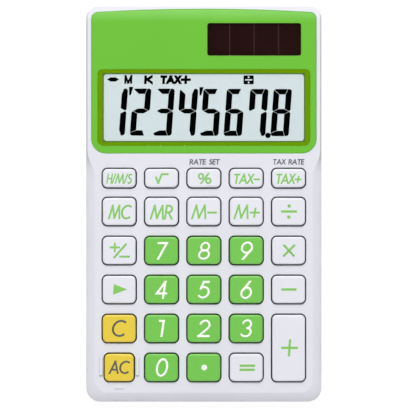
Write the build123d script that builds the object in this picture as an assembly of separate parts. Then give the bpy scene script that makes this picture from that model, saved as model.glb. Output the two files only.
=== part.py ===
from build123d import *
import math
import os

# Keys
key_width = 9.85
key_length = 8.2
top_row_key_length = 5.55
guarded_key_width = 8.72
key_spacing_across = 2.82
key_spacing_along = 3.47
top_row_spacing = 3.105
key_corner_radius = 1.4
key_edge_round = 0.5
key_clearance = 0.4
key_rise = 1.0
key_roof = 1.2
key_wall = 1.0
key_travel = 0.7
flange_overlap = 0.3
flange_thickness = 0.55
flange_stop_gap = 0.1
stem_diameter = 3.0
stem_drop = 0.15

# Margins of the key field, the panel and the case
side_margin = 4.985
bottom_margin = 6.22
panel_gap = 4.635
top_margin = 0.75
panel_side_margin = 1.55

# Display panel
solar_top_margin = 4.33
solar_side_margin = 4.58
solar_window_width = 28.1
solar_window_length = 9.8
solar_window_radius = 0.75
window_gap = 3.98
window_bottom_margin = 2.25
window_side_margin = 1.85
window_radius = 1.5
border_side = 1.85
border_end = 1.5
window_lens_thickness = 0.5
lens_glue = 0.02
view_length = 20.0
view_radius = 0.9
panel_thickness = 1.2
panel_proud = 0.2
panel_clearance = 0.05
panel_edge_round = 0.3
panel_bottom_radius = 4.3
panel_top_radius = 2.0
panel_bow = 1.1
roll_length = 4.1
roll_drop = 0.7

# Case shells
bottom_corner_radius = 4.2
top_corner_radius = 3.5
wall = 1.6
floor_thickness = 1.2
face_thickness = 1.4
recess_floor = 0.5
parting_height = 3.4
lip_thickness = 0.7
lip_height = 0.7
lip_clearance = 0.1
bevel_side = 2.7
bevel_bottom = 2.8
bevel_drop = 1.3
bevel_rim = 0.4
bevel_run = 8.6
bevel_lead = 1.1
plateau_corner_radius = 3.6
bevel_profile = ((0, 0), (0.015, 0.09), (0.05, 0.165), (0.1, 0.225), (0.2, 0.325), (0.35, 0.47), (0.5, 0.615),
                 (0.65, 0.755), (0.78, 0.865), (0.9, 0.955), (1, 1))
rear_edge_round = 1.2
parting_chamfer = 0.15
label_width = 34.0
label_length = 14.0
label_radius = 1.5
label_depth = 0.2

# Guards beside the all-clear key
guard_width = 1.1
guard_length = 5.8
guard_height = 0.6
guard_gap = 0.15
guard_round = 0.35
guard_shift = 0.4
nub_width = 2.8
nub_length = 0.9
nub_height = 0.25

# Board, mat and domes
board_standoff = 1.0
board_thickness = 0.8
board_margin = 0.35
board_corner_radius = 1.0
mat_thickness = 0.5
mat_margin = 0.3
mat_hole_gap = 0.2
dome_height = 1.25
dome_base_diameter = 6.4
dome_top_diameter = 4.2
dome_crown = 0.4
dome_web = 0.35
pill_diameter = 3.0
pill_thickness = 0.25
rest_gap = 0.05

# Liquid crystal display
film_thickness = 0.2
glass_thickness = 0.55
glass_margin = 0.8
contact_ledge = 2.0
zebra_width = 1.4
zebra_end_gap = 2.0
cushion_inset = 3.0
rib_width = 0.8
rib_gap = 0.15
rib_overlap = 0.3

# Solar cell and its leads
solar_cell_margin = 0.4
solar_cell_thickness = 1.1
solar_cell_chamfer = 0.15
lead_diameter = 0.7
lead_bend_radius = 1.2
lead_spread = 8.0
lead_slope = 2.0
lead_landing = 2.6

# Button cell and its clips
cell_diameter = 11.6
cell_height = 3.05
cell_cap_diameter = 9.4
cell_cap_height = 0.35
cell_edge_bend = 0.35
cell_pad = 0.3
cell_clearance = 0.15
holder_wall = 1.0
holder_foot_gap = 0.9
clip_thickness = 0.25
clip_width = 4.0
clip_height = 1.2
clip_slot_gap = 0.3
clip_foot = 1.8
clip_edge_gap = 0.2
clip_tongue_half = 1.2

# Small parts under the board
blob_diameter = 11.0
blob_height = 0.75
chip_length = 1.6
chip_width = 0.8
chip_spacing = 6.4
chip_blob_gap = 2.2
capacitor_count = 3
resistor_count = 4
capacitor_height = 0.8
resistor_height = 0.45

# Screws
screw_fit = 0.04
case_screw_diameter = 2.0
case_screw_head = 3.6
case_screw_head_height = 0.85
case_screw_reach = 2.8
case_boss_diameter = 3.4
case_boss_inset = 2.3
case_sink_depth = 1.0
case_sink_gap = 0.25
case_sink_wall = 0.6
case_sink_roof = 1.0
case_hole_gap = 0.2
board_screw_diameter = 1.4
board_screw_head = 2.6
board_screw_head_height = 0.65
board_screw_reach = 2.0
board_boss_diameter = 2.8
board_hole_gap = 0.1
pilot_depth_spare = 0.3
post_diameter = 2.2

# Heights of the stack, from the desk upwards
board_bottom = floor_thickness + board_standoff
board_top = board_bottom + board_thickness
mat_top = board_top + mat_thickness
dome_top = mat_top + dome_height
stem_bottom = dome_top + rest_gap
flange_bottom = stem_bottom + stem_drop
flange_top = flange_bottom + flange_thickness
face_under = flange_top + flange_stop_gap
face_top = face_under + face_thickness
key_top = face_top + key_rise
bevel_height = face_top - bevel_drop
panel_top = face_top + panel_proud
panel_under = panel_top - panel_thickness
recess_under = panel_under - recess_floor
lens_under = panel_top - window_lens_thickness
border_top = lens_under - lens_glue

# Plan of the case, measured from its middle
columns = 5
full_rows = 5
column_pitch = key_width + key_spacing_across
row_pitch = key_length + key_spacing_along
window_length = view_length + 2 * border_end
panel_length = solar_top_margin + solar_window_length + window_gap + window_length + window_bottom_margin
keypad_length = full_rows * key_length + (full_rows - 1) * key_spacing_along
case_width = columns * key_width + (columns - 1) * key_spacing_across + 2 * side_margin
case_length = (bottom_margin + keypad_length + top_row_spacing + top_row_key_length
               + panel_gap + panel_length + top_margin)
half_width = case_width / 2
half_length = case_length / 2
column_x = [(column - (columns - 1) / 2) * column_pitch for column in range(columns)]
last_row_y = -half_length + bottom_margin + key_length / 2
row_y = [last_row_y + (full_rows - 1 - row) * row_pitch for row in range(full_rows)]
top_row_y = row_y[0] + key_length / 2 + top_row_spacing + top_row_key_length / 2

panel_bottom_y = top_row_y + top_row_key_length / 2 + panel_gap
panel_top_y = panel_bottom_y + panel_length
panel_half_width = half_width - panel_side_margin
window_width = 2 * (panel_half_width - window_side_margin)
window_y = panel_bottom_y + window_bottom_margin + window_length / 2
view_width = window_width - 2 * border_side
solar_x = panel_half_width - solar_side_margin - solar_window_width / 2
solar_y = panel_top_y - solar_top_margin - solar_window_length / 2

glass_width = view_width + 2 * glass_margin
glass_top_y = window_y + view_length / 2 + glass_margin
glass_bottom_y = window_y - view_length / 2 - glass_margin
ledge_bottom_y = glass_bottom_y - contact_ledge
front_glass_top = panel_under
film_top = front_glass_top + film_thickness
rear_glass_top = front_glass_top - glass_thickness
reflector_top = rear_glass_top - glass_thickness
display_under = reflector_top - film_thickness
pocket_width = glass_width + 2 * rib_gap
pocket_length = glass_top_y - ledge_bottom_y + 2 * rib_gap
pocket_y = (glass_top_y + ledge_bottom_y) / 2

cell_x = -panel_half_width / 2
cell_y = solar_y
cell_bottom = floor_thickness + cell_pad
cell_top = cell_bottom + cell_height
holder_inner = cell_diameter / 2 + cell_clearance
holder_outer = holder_inner + holder_wall

boss_x = half_width - wall - case_boss_inset
boss_y = half_length - wall - case_boss_inset
middle_boss_y = (top_row_y + top_row_key_length / 2 + key_clearance + flange_overlap
                 + ledge_bottom_y - rib_gap - rib_width) / 2
case_screw_places = [(x, y) for x in (-boss_x, boss_x) for y in (-boss_y, middle_boss_y, boss_y)]
sink_diameter = case_screw_head + 2 * case_sink_gap
sink_top = case_sink_depth + case_sink_roof

between_columns = [(column_x[i] + column_x[i + 1]) / 2 for i in range(columns - 1)]
between_rows = [(row_y[i] + row_y[i + 1]) / 2 for i in range(full_rows - 1)]
board_screw_places = [(x, y) for x in (between_columns[0], between_columns[-1])
                      for y in (between_rows[0], between_rows[2], middle_boss_y)]
post_places = [(x, y) for x in (between_columns[1], between_columns[2]) for y in between_rows[0:3:2]]
post_places += [(x, window_y) for x in (between_columns[0], between_columns[-1])]

board_half_width = boss_x - case_boss_diameter / 2 - board_margin
board_top_y = cell_y - holder_outer - board_margin
board_bottom_y = row_y[-1] - dome_base_diameter / 2 - mat_margin - board_margin

# Every key: node name, column, row (the short top row is row -1)
key_places = [
    ("key_time", 0, -1), ("key_root", 1, -1), ("key_percent", 2, -1),
    ("key_tax_minus", 3, -1), ("key_tax_plus", 4, -1),
    ("key_memory_clear", 0, 0), ("key_memory_recall", 1, 0), ("key_memory_minus", 2, 0),
    ("key_memory_plus", 3, 0), ("key_divide", 4, 0),
    ("key_sign", 0, 1), ("key_seven", 1, 1), ("key_eight", 2, 1), ("key_nine", 3, 1),
    ("key_multiply", 4, 1),
    ("key_backspace", 0, 2), ("key_four", 1, 2), ("key_five", 2, 2), ("key_six", 3, 2),
    ("key_minus", 4, 2),
    ("key_clear", 0, 3), ("key_one", 1, 3), ("key_two", 2, 3), ("key_three", 3, 3),
    ("key_plus", 4, 3),
    ("key_all_clear", 0, 4), ("key_zero", 1, 4), ("key_point", 2, 4), ("key_equals", 3, 4),
]


def key_box(name, column, row):
    # middle and size of a key seen from above; the plus key is two rows long
    x = column_x[column]
    width = key_width
    if row < 0:
        return x, top_row_y, width, top_row_key_length
    if name == "key_plus":
        return x, (row_y[row] + row_y[row + 1]) / 2, width, key_length + row_pitch
    if name == "key_all_clear":
        width = guarded_key_width
    return x, row_y[row], width, key_length


def dome_places(name, column, row):
    x, y, width, length = key_box(name, column, row)
    if name == "key_plus":
        return [(x, row_y[row]), (x, row_y[row + 1])]
    return [(x, y)]


keys = {name: key_box(name, column, row) for name, column, row in key_places}
domes = [place for entry in key_places for place in dome_places(*entry)]


def slab(outline, bottom, top):
    # a flat outline drawn around z = 0, filled between two heights
    return extrude(Pos(0, 0, bottom) * outline, amount=top - bottom)


def disc(x, y, diameter, bottom, top):
    return slab(Pos(x, y) * Circle(diameter / 2), bottom, top)


def rounded(x, y, width, length, radius):
    return Pos(x, y) * RectangleRounded(width, length, radius)


def case_outline(inset):
    outline = Rectangle(case_width - 2 * inset, case_length - 2 * inset)
    outline = fillet(outline.vertices().group_by(Axis.Y)[0], bottom_corner_radius - inset)
    return fillet(outline.vertices().group_by(Axis.Y)[-1], top_corner_radius - inset)


def shell_section(low_inset, high_inset, end_inset, top_inset, low_radius, high_radius, height):
    # outline of the front shell at one height; its long sides swing outwards beside the panel
    low_x = half_width - low_inset
    high_x = half_width - high_inset
    bottom = -half_length + end_inset
    top = half_length - top_inset
    swing_end = panel_bottom_y + bevel_lead
    swing_start = swing_end - bevel_run
    right_swing = Spline((low_x, swing_start), (high_x, swing_end), tangents=((0, 1), (0, 1)))
    left_swing = Spline((-high_x, swing_end), (-low_x, swing_start), tangents=((0, -1), (0, -1)))
    outline = make_face([
        Line((-low_x + low_radius, bottom), (low_x - low_radius, bottom)),
        CenterArc((low_x - low_radius, bottom + low_radius), low_radius, -90, 90),
        Line((low_x, bottom + low_radius), (low_x, swing_start)),
        right_swing,
        Line((high_x, swing_end), (high_x, top - high_radius)),
        CenterArc((high_x - high_radius, top - high_radius), high_radius, 0, 90),
        Line((high_x - high_radius, top), (-high_x + high_radius, top)),
        CenterArc((-high_x + high_radius, top - high_radius), high_radius, 90, 90),
        Line((-high_x, top - high_radius), (-high_x, swing_end)),
        left_swing,
        Line((-low_x, swing_start), (-low_x, bottom + low_radius)),
        CenterArc((-low_x + low_radius, bottom + low_radius), low_radius, 180, 90),
    ])
    return Pos(0, 0, height) * outline


def panel_outline(spare):
    # flat foot, upright sides and a slightly bowed top edge
    side = panel_half_width + spare
    bottom = panel_bottom_y - spare
    top = panel_top_y + spare
    shoulder = top - panel_bow
    outline = make_face([
        Line((-side, bottom), (side, bottom)),
        Line((side, bottom), (side, shoulder)),
        ThreePointArc((side, shoulder), (0, top), (-side, shoulder)),
        Line((-side, shoulder), (-side, bottom)),
    ])
    low_corners = outline.vertices().group_by(Axis.Y)[0]
    outline = fillet(low_corners, panel_bottom_radius + spare)
    high_corners = outline.vertices().group_by(Axis.Y)[-1]
    return fillet(high_corners, panel_top_radius + spare)


def roll_off(lower):
    # what lies above the rolled top end, a little lower for the case than for the panel
    radius = (roll_length ** 2 + roll_drop ** 2) / (2 * roll_drop)
    start_y = panel_top_y - roll_length
    reach = half_length - start_y + 1
    above = Pos(0, start_y + reach / 2, panel_top - radius / 2 + 1) * Box(case_width + 2, reach, radius + 2)
    drum = Pos(0, start_y, panel_top - radius) * Rot(0, 90, 0) * Cylinder(radius - lower, case_width + 4)
    return above - drum


def frame_wall(x, y, width, length, bottom, top):
    # a rib standing around a rectangle
    outer = Rectangle(width + 2 * rib_width, length + 2 * rib_width)
    return slab(Pos(x, y) * (outer - Rectangle(width, length)), bottom, top)


def glass_pocket():
    # room for the display glass
    return Pos(0, pocket_y) * Rectangle(pocket_width, pocket_length)


def make_front_case():
    # upright wall, rounded into a straight bevel that eases into the plateau
    case = slab(case_outline(0), parting_height, bevel_height)
    case = chamfer(case.edges().group_by(Axis.Z)[0], parting_chamfer)
    sections = []
    for share, rise in bevel_profile:
        low_radius = bottom_corner_radius + share * (plateau_corner_radius - bottom_corner_radius)
        high_radius = top_corner_radius - share * bevel_rim
        height = bevel_height + bevel_drop * rise
        rim = share * bevel_rim
        sections.append(shell_section(share * bevel_side, rim, share * bevel_bottom, rim,
                                      low_radius, high_radius, height))
    case += loft(sections)
    case -= roll_off(panel_proud)

    # hollow under the keys and under the panel
    split_y = middle_boss_y
    hollow = case_outline(wall)
    below = Pos(0, split_y - case_length) * Rectangle(case_width, 2 * case_length)
    above = Pos(0, split_y + case_length) * Rectangle(case_width, 2 * case_length)
    case -= slab(hollow & below, parting_height, face_under)
    case -= slab(hollow & above, parting_height, recess_under)
    rebate = case_outline(wall - lip_thickness - lip_clearance)
    case -= slab(rebate, parting_height, parting_height + lip_height + lip_clearance)

    # recess for the panel, with a hole for the display and one for the solar cell
    case -= slab(panel_outline(panel_clearance), panel_under, panel_top + 1)
    case -= slab(glass_pocket(), recess_under - 1, panel_under)
    solar_hole = rounded(solar_x, solar_y, solar_window_width, solar_window_length, solar_window_radius)
    case -= slab(solar_hole, recess_under - 1, panel_under)

    key_holes = []
    for x, y, width, length in keys.values():
        hole_radius = key_corner_radius + key_clearance
        hole = rounded(x, y, width + 2 * key_clearance, length + 2 * key_clearance, hole_radius)
        key_holes.append(slab(hole, face_under - 1, face_top + 1))
    case -= key_holes

    # ribs that hold the display glass
    rib_bottom = rear_glass_top - rib_overlap
    case += frame_wall(0, pocket_y, pocket_width, pocket_length, rib_bottom, recess_under)

    # cup around the button cell, open where the two clips pass
    cup = disc(cell_x, cell_y, 2 * holder_outer, cell_bottom + holder_foot_gap, recess_under)
    cup -= disc(cell_x, cell_y, 2 * holder_inner, cell_bottom, recess_under)
    slot = clip_width + 2 * clip_slot_gap
    cup -= Pos(cell_x, cell_y - holder_outer, face_under) * Box(slot, 2 * holder_outer, 4 * cell_height)
    cup -= Pos(cell_x + holder_outer, cell_y - holder_outer / 2, face_under) * Box(
        2 * holder_wall + 2 * clip_slot_gap, holder_outer + slot, 4 * cell_height)
    case += cup

    # screw bosses, then their pilot holes
    case_pilot_top = sink_top + case_screw_reach + pilot_depth_spare
    board_pilot_top = board_top + board_screw_reach + pilot_depth_spare
    case += [disc(x, y, case_boss_diameter, sink_top, face_under) for x, y in case_screw_places]
    case += [disc(x, y, board_boss_diameter, board_top, face_under) for x, y in board_screw_places]
    case_pilot = case_screw_diameter + 2 * screw_fit
    board_pilot = board_screw_diameter + 2 * screw_fit
    case -= [disc(x, y, case_pilot, sink_top, case_pilot_top) for x, y in case_screw_places]
    case -= [disc(x, y, board_pilot, board_top, board_pilot_top) for x, y in board_screw_places]

    # guard ribs on both sides of the all-clear key and the small nub below it
    x, y, width, length = keys["key_all_clear"]
    step = width / 2 + key_clearance + guard_gap + guard_width / 2
    for side in (-1, 1):
        guard = Box(guard_width, guard_length, 2 * guard_height)
        guard = Pos(x + side * step, y + guard_shift, face_top) * guard
        guard = fillet(guard.edges().filter_by(Axis.Z), guard_round)
        guard = fillet(guard.edges().group_by(Axis.Z)[-1], guard_round)
        case += guard
    nub_y = (y - length / 2 - key_clearance - half_length + bevel_bottom) / 2
    nub = Pos(x, nub_y, face_top) * Box(nub_width, nub_length, 2 * nub_height)
    nub = fillet(nub.edges().filter_by(Axis.Z), nub_length / 2.5)
    case += fillet(nub.edges().group_by(Axis.Z)[-1], nub_height * 0.8)
    return case


def make_rear_case():
    case = slab(case_outline(0), 0, parting_height)
    case = fillet(case.edges().group_by(Axis.Z)[0], rear_edge_round)
    case = chamfer(case.edges().group_by(Axis.Z)[-1], parting_chamfer)
    case -= slab(case_outline(wall), floor_thickness, parting_height)
    lip = case_outline(wall - lip_thickness) - case_outline(wall)
    case += slab(lip, floor_thickness, parting_height + lip_height)
    # sunk screw seats, kept inside the wall
    room = slab(case_outline(wall / 2), 0, sink_top)
    for x, y in case_screw_places:
        case += disc(x, y, sink_diameter + 2 * case_sink_wall, floor_thickness / 2, sink_top) & room
    case -= [disc(x, y, sink_diameter, 0, case_sink_depth) for x, y in case_screw_places]
    case -= [disc(x, y, case_screw_diameter + 2 * case_hole_gap, 0, sink_top) for x, y in case_screw_places]
    # posts under the board, a pad under the button cell and a bare sunk field for a label
    case += [disc(x, y, post_diameter, floor_thickness, board_bottom) for x, y in post_places]
    case += disc(cell_x, cell_y, cell_diameter / 2, floor_thickness, cell_bottom)
    case -= slab(rounded(0, -half_length / 3, label_width, label_length, label_radius), 0, label_depth)
    return case


def make_display_panel():
    panel = slab(panel_outline(0), panel_under, panel_top)
    panel -= roll_off(0)
    upright_top = panel_under + panel_edge_round
    upper_edges = panel.edges().filter_by(lambda edge: edge.bounding_box().min.Z > upright_top)
    panel = fillet(upper_edges, panel_edge_round)
    panel -= slab(rounded(0, window_y, window_width, window_length, window_radius), panel_under, panel_top)
    solar_hole = rounded(solar_x, solar_y, solar_window_width, solar_window_length, solar_window_radius)
    panel -= slab(solar_hole, panel_under, panel_top)
    return panel


def window_outline():
    # what fills the display window of the panel
    width = window_width - 2 * panel_clearance
    length = window_length - 2 * panel_clearance
    return rounded(0, window_y, width, length, window_radius - panel_clearance)


def make_window_lens():
    return slab(window_outline(), lens_under, panel_top)


def make_window_border():
    # stepped: its inner part lies on the display film, its rim stands beside the glass
    inner = rounded(0, window_y, view_width, view_length, view_radius)
    border = slab(window_outline() - inner, panel_under, border_top)
    return border - slab(glass_pocket(), panel_under, film_top)


def make_solar_window():
    width = solar_window_width - 2 * panel_clearance
    length = solar_window_length - 2 * panel_clearance
    radius = solar_window_radius - panel_clearance
    return slab(rounded(solar_x, solar_y, width, length, radius), panel_under, panel_top)


def make_solar_cell():
    width = solar_window_width + 2 * solar_cell_margin
    length = solar_window_length + 2 * solar_cell_margin
    plate = Pos(solar_x, solar_y) * Rectangle(width, length)
    cell = slab(plate, recess_under - solar_cell_thickness, recess_under)
    return chamfer(cell.edges().group_by(Axis.Z)[0], solar_cell_chamfer)


def display_layer(bottom_y, top_y, width, bottom, top):
    middle = (bottom_y + top_y) / 2
    return slab(Pos(0, middle) * Rectangle(width, top_y - bottom_y), bottom, top)


def make_display_layers():
    film_width = glass_width - glass_margin
    film_low = glass_bottom_y + glass_margin / 2
    film_high = glass_top_y - glass_margin / 2
    cushion_width = glass_width - 2 * cushion_inset
    cushion_low = glass_bottom_y + cushion_inset
    cushion_high = glass_top_y - cushion_inset
    front_film = display_layer(film_low, film_high, film_width, front_glass_top, film_top)
    front_glass = display_layer(ledge_bottom_y, glass_top_y, glass_width, rear_glass_top, front_glass_top)
    rear_glass = display_layer(glass_bottom_y, glass_top_y, glass_width, reflector_top, rear_glass_top)
    reflector = display_layer(film_low, film_high, film_width, display_under, reflector_top)
    cushion = display_layer(cushion_low, cushion_high, cushion_width, board_top, display_under)
    return {
        "lcd_front_polariser": front_film,
        "lcd_front_glass": front_glass,
        "lcd_rear_glass": rear_glass,
        "lcd_reflector": reflector,
        "lcd_cushion": cushion,
    }


def make_zebra_connector():
    middle = ledge_bottom_y + contact_ledge / 2
    strip = Pos(0, middle) * Rectangle(view_width - 2 * zebra_end_gap, zebra_width)
    return slab(strip, board_top, rear_glass_top)


def make_circuit_board():
    outline = Rectangle(2 * board_half_width, board_top_y - board_bottom_y)
    outline = fillet(outline.vertices(), board_corner_radius)
    board = slab(Pos(0, (board_top_y + board_bottom_y) / 2) * outline, board_bottom, board_top)
    for x, y in board_screw_places:
        board -= disc(x, y, board_screw_diameter + 2 * board_hole_gap, board_bottom, board_top)
    return board


def make_chip_blob():
    # a shallow cap of a ball, hanging under the board
    radius = (blob_diameter ** 2 / 4 + blob_height ** 2) / (2 * blob_height)
    ball = Pos(0, window_y, board_bottom - blob_height + radius) * Sphere(radius)
    return ball & disc(0, window_y, 2 * blob_diameter, board_bottom - 2 * blob_height, board_bottom)


def make_chips(height, count, row_shift):
    first = -(count - 1) / 2
    chips = [Pos((first + i) * chip_spacing, window_y + row_shift, board_bottom - height / 2)
             * Box(chip_length, chip_width, height) for i in range(count)]
    return Compound(children=chips)


def dome_solid(x, y):
    base = dome_base_diameter / 2
    crown = dome_top_diameter / 2
    shoulder = dome_top - dome_crown
    foot = mat_top - mat_thickness / 2
    profile = make_face(Polyline((0, foot), (base, foot), (base, mat_top), (crown, shoulder),
                                 (crown, dome_top), (0, dome_top), close=True))
    return Pos(x, y) * revolve(Plane.XZ * profile, Axis.Z)


def dome_hollow(x, y):
    base = dome_base_diameter / 2 - dome_web
    crown = dome_top_diameter / 2 - dome_web
    roof = board_top + key_travel + pill_thickness
    profile = make_face(Polyline((0, board_top), (base, board_top), (crown, roof), (0, roof), close=True))
    return Pos(x, y) * revolve(Plane.XZ * profile, Axis.Z)


def make_key_mat():
    low = row_y[-1] - dome_base_diameter / 2 - mat_margin
    high = top_row_y + dome_base_diameter / 2 + mat_margin
    sheet = Pos(0, (low + high) / 2) * Rectangle(2 * board_half_width, high - low)
    mat = slab(sheet, board_top, mat_top)
    mat += [dome_solid(x, y) for x, y in domes]
    mat -= [dome_hollow(x, y) for x, y in domes]
    boss_hole = board_boss_diameter + 2 * mat_hole_gap
    mat -= [disc(x, y, boss_hole, board_top, mat_top) for x, y in board_screw_places]
    return mat


def make_contact_pills():
    bottom = board_top + key_travel
    pills = [disc(x, y, pill_diameter, bottom, bottom + pill_thickness) for x, y in domes]
    return Compound(children=pills)


def make_button_cell():
    half = cell_diameter / 2
    cap = cell_cap_diameter / 2
    can_top = cell_height - cell_cap_height
    bend = cell_edge_bend
    profile = make_face(Polyline((0, 0), (half - bend, 0), (half, bend), (half, can_top - bend),
                                 (half - bend, can_top), (cap, can_top), (cap - bend / 2, cell_height),
                                 (0, cell_height), close=True))
    return Pos(cell_x, cell_y, cell_bottom) * revolve(Plane.XZ * profile, Axis.Z)


def strip_outline(points, thickness):
    # a bent sheet-metal strip seen edge on: the given line and its parallel to the left
    side = []
    count = len(points)
    for i in range(count):
        before = points[max(i - 1, 0)]
        here = points[i]
        after = points[min(i + 1, count - 1)]
        turn_in = math.atan2(here[1] - before[1], here[0] - before[0])
        turn_out = math.atan2(after[1] - here[1], after[0] - here[0])
        if i == 0:
            turn_in = turn_out
        if i == count - 1:
            turn_out = turn_in
        middle = (turn_in + turn_out) / 2
        reach = thickness / math.cos((turn_out - turn_in) / 2)
        side.append((here[0] - reach * math.sin(middle), here[1] + reach * math.cos(middle)))
    return make_face(Polyline(*points, *reversed(side), close=True))


def make_battery_clip_negative():
    # solder foot on the board, riser, arm along the case and a tongue down to the cell
    riser_y = board_top_y - clip_edge_gap
    arm = recess_under - clip_thickness
    points = [(riser_y - clip_foot, board_top), (riser_y, board_top), (riser_y, arm),
              (cell_y - cell_cap_diameter / 3, arm), (cell_y - clip_tongue_half / 2, cell_top),
              (cell_y + clip_tongue_half, cell_top)]
    strip = strip_outline(points, clip_thickness)
    return Pos(cell_x - clip_width / 2) * extrude(Plane.YZ * strip, amount=clip_width)


def make_battery_clip_positive():
    # foot on the board and a blade that stands against the rim of the cell
    blade_x = cell_x + cell_diameter / 2
    low_y = board_top_y - clip_edge_gap - clip_foot
    high_y = cell_y + clip_width / 2
    blade = Pos(blade_x + clip_thickness / 2, (low_y + high_y) / 2, board_top + clip_height / 2) * Box(
        clip_thickness, high_y - low_y, clip_height)
    foot = Pos(blade_x + clip_foot / 2, low_y + clip_foot / 2, board_top + clip_thickness / 2) * Box(
        clip_foot, clip_foot, clip_thickness)
    return blade + foot


def make_solar_lead(side):
    x = solar_x + side * lead_spread / 2
    high = recess_under - solar_cell_thickness - lead_diameter / 2
    low = board_top + lead_diameter / 2
    start_y = solar_y - solar_window_length / 4
    path = FilletPolyline((x, start_y, high), (x, board_top_y + lead_slope * 0.8, high),
                          (x, board_top_y - lead_slope * 0.2, low), (x, board_top_y - lead_landing, low),
                          radius=lead_bend_radius)
    section = Plane((x, start_y, high), z_dir=(0, -1, 0)) * Circle(lead_diameter / 2)
    return sweep(section, path)


def screw(diameter, head, head_height, reach):
    # head below z = 0 with a cross recess, pointed shank above
    rim = head / 2
    crown = rim - head_height * 0.35
    head_profile = make_face(Polyline((0, 0), (rim, 0), (rim, -head_height * 0.55), (crown, -head_height),
                                      (0, -head_height), close=True))
    tip = diameter / 2
    shank_profile = make_face(Polyline((0, 0), (tip, 0), (tip, reach - tip), (tip / 4, reach), (0, reach),
                                       close=True))
    body = revolve(Plane.XZ * head_profile, Axis.Z) + revolve(Plane.XZ * shank_profile, Axis.Z)
    slot = head * 0.52
    for turn in (0, 90):
        body -= Pos(0, 0, -head_height) * Rot(0, 0, turn) * Box(slot, head * 0.15, head_height)
    return body


def make_case_screws():
    reach = case_sink_roof + case_screw_reach
    one = screw(case_screw_diameter, case_screw_head, case_screw_head_height, reach)
    return Compound(children=[Pos(x, y, case_sink_depth) * one for x, y in case_screw_places])


def make_board_screws():
    reach = board_thickness + board_screw_reach
    one = screw(board_screw_diameter, board_screw_head, board_screw_head_height, reach)
    return Compound(children=[Pos(x, y, board_bottom) * one for x, y in board_screw_places])


def make_key(name, x, y, width, length):
    cap = slab(rounded(x, y, width, length, key_corner_radius), flange_bottom, key_top)
    cap = fillet(cap.edges().group_by(Axis.Z)[-1], key_edge_round)
    reach = key_clearance + flange_overlap
    flange = rounded(x, y, width + 2 * reach, length + 2 * reach, key_corner_radius + reach)
    cap += slab(flange, flange_bottom, flange_top)
    inner = Pos(x, y) * Rectangle(width - 2 * key_wall, length - 2 * key_wall)
    cap -= slab(inner, flange_bottom, key_top - key_roof)
    places = [(x, y)]
    if name == "key_plus":
        places = [(x, y - row_pitch / 2), (x, y + row_pitch / 2)]
    for stem_x, stem_y in places:
        cap += disc(stem_x, stem_y, stem_diameter, stem_bottom, key_top - key_roof)
    return cap


os.makedirs("parts", exist_ok=True)

parts = {
    "front_case": make_front_case(),
    "rear_case": make_rear_case(),
    "display_panel": make_display_panel(),
    "window_lens": make_window_lens(),
    "window_border": make_window_border(),
    "solar_window": make_solar_window(),
    "solar_cell": make_solar_cell(),
    "zebra_connector": make_zebra_connector(),
    "circuit_board": make_circuit_board(),
    "chip_blob": make_chip_blob(),
    "chip_capacitors": make_chips(capacitor_height, capacitor_count, blob_diameter / 2 + chip_blob_gap),
    "chip_resistors": make_chips(resistor_height, resistor_count, -blob_diameter / 2 - chip_blob_gap),
    "key_mat": make_key_mat(),
    "contact_pills": make_contact_pills(),
    "button_cell": make_button_cell(),
    "battery_clip_negative": make_battery_clip_negative(),
    "battery_clip_positive": make_battery_clip_positive(),
    "solar_lead_red": make_solar_lead(1),
    "solar_lead_black": make_solar_lead(-1),
    "case_screws": make_case_screws(),
    "board_screws": make_board_screws(),
}
parts.update(make_display_layers())
for name, box in keys.items():
    parts[name] = make_key(name, *box)

for name, shape in parts.items():
    export_step(shape, f"parts/{name}.step")
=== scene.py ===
import bpy
import bmesh
import math
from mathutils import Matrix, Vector


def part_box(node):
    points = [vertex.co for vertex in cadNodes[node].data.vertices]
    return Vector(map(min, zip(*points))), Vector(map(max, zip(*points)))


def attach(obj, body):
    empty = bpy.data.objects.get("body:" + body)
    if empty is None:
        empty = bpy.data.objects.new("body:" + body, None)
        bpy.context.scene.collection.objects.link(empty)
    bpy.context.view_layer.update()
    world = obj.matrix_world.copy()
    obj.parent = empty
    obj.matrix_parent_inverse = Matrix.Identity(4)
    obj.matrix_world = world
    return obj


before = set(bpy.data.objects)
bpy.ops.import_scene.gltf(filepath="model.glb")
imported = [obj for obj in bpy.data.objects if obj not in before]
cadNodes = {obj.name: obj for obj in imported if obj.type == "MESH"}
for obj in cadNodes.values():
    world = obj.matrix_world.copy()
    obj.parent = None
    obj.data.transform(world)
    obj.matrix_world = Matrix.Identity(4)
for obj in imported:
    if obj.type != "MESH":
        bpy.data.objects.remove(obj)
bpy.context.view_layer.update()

scene = bpy.context.scene
mm = 0.001


# small helpers for node trees
def addNode(tree, kind, **settings):
    node = tree.nodes.new(kind)
    for key, value in settings.items():
        setattr(node, key, value)
    return node


def setInputs(node, **values):
    for key, value in values.items():
        node.inputs[key.replace("_", " ")].default_value = value


def newGroup(name, kind, inputs, outputs):
    tree = bpy.data.node_groups.new(name, kind)
    for label, socketType, value in inputs:
        socket = tree.interface.new_socket(label, in_out="INPUT", socket_type=socketType)
        if value is not None:
            socket.default_value = value
    for label, socketType in outputs:
        tree.interface.new_socket(label, in_out="OUTPUT", socket_type=socketType)
    return tree, tree.nodes.new("NodeGroupInput"), tree.nodes.new("NodeGroupOutput")


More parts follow.
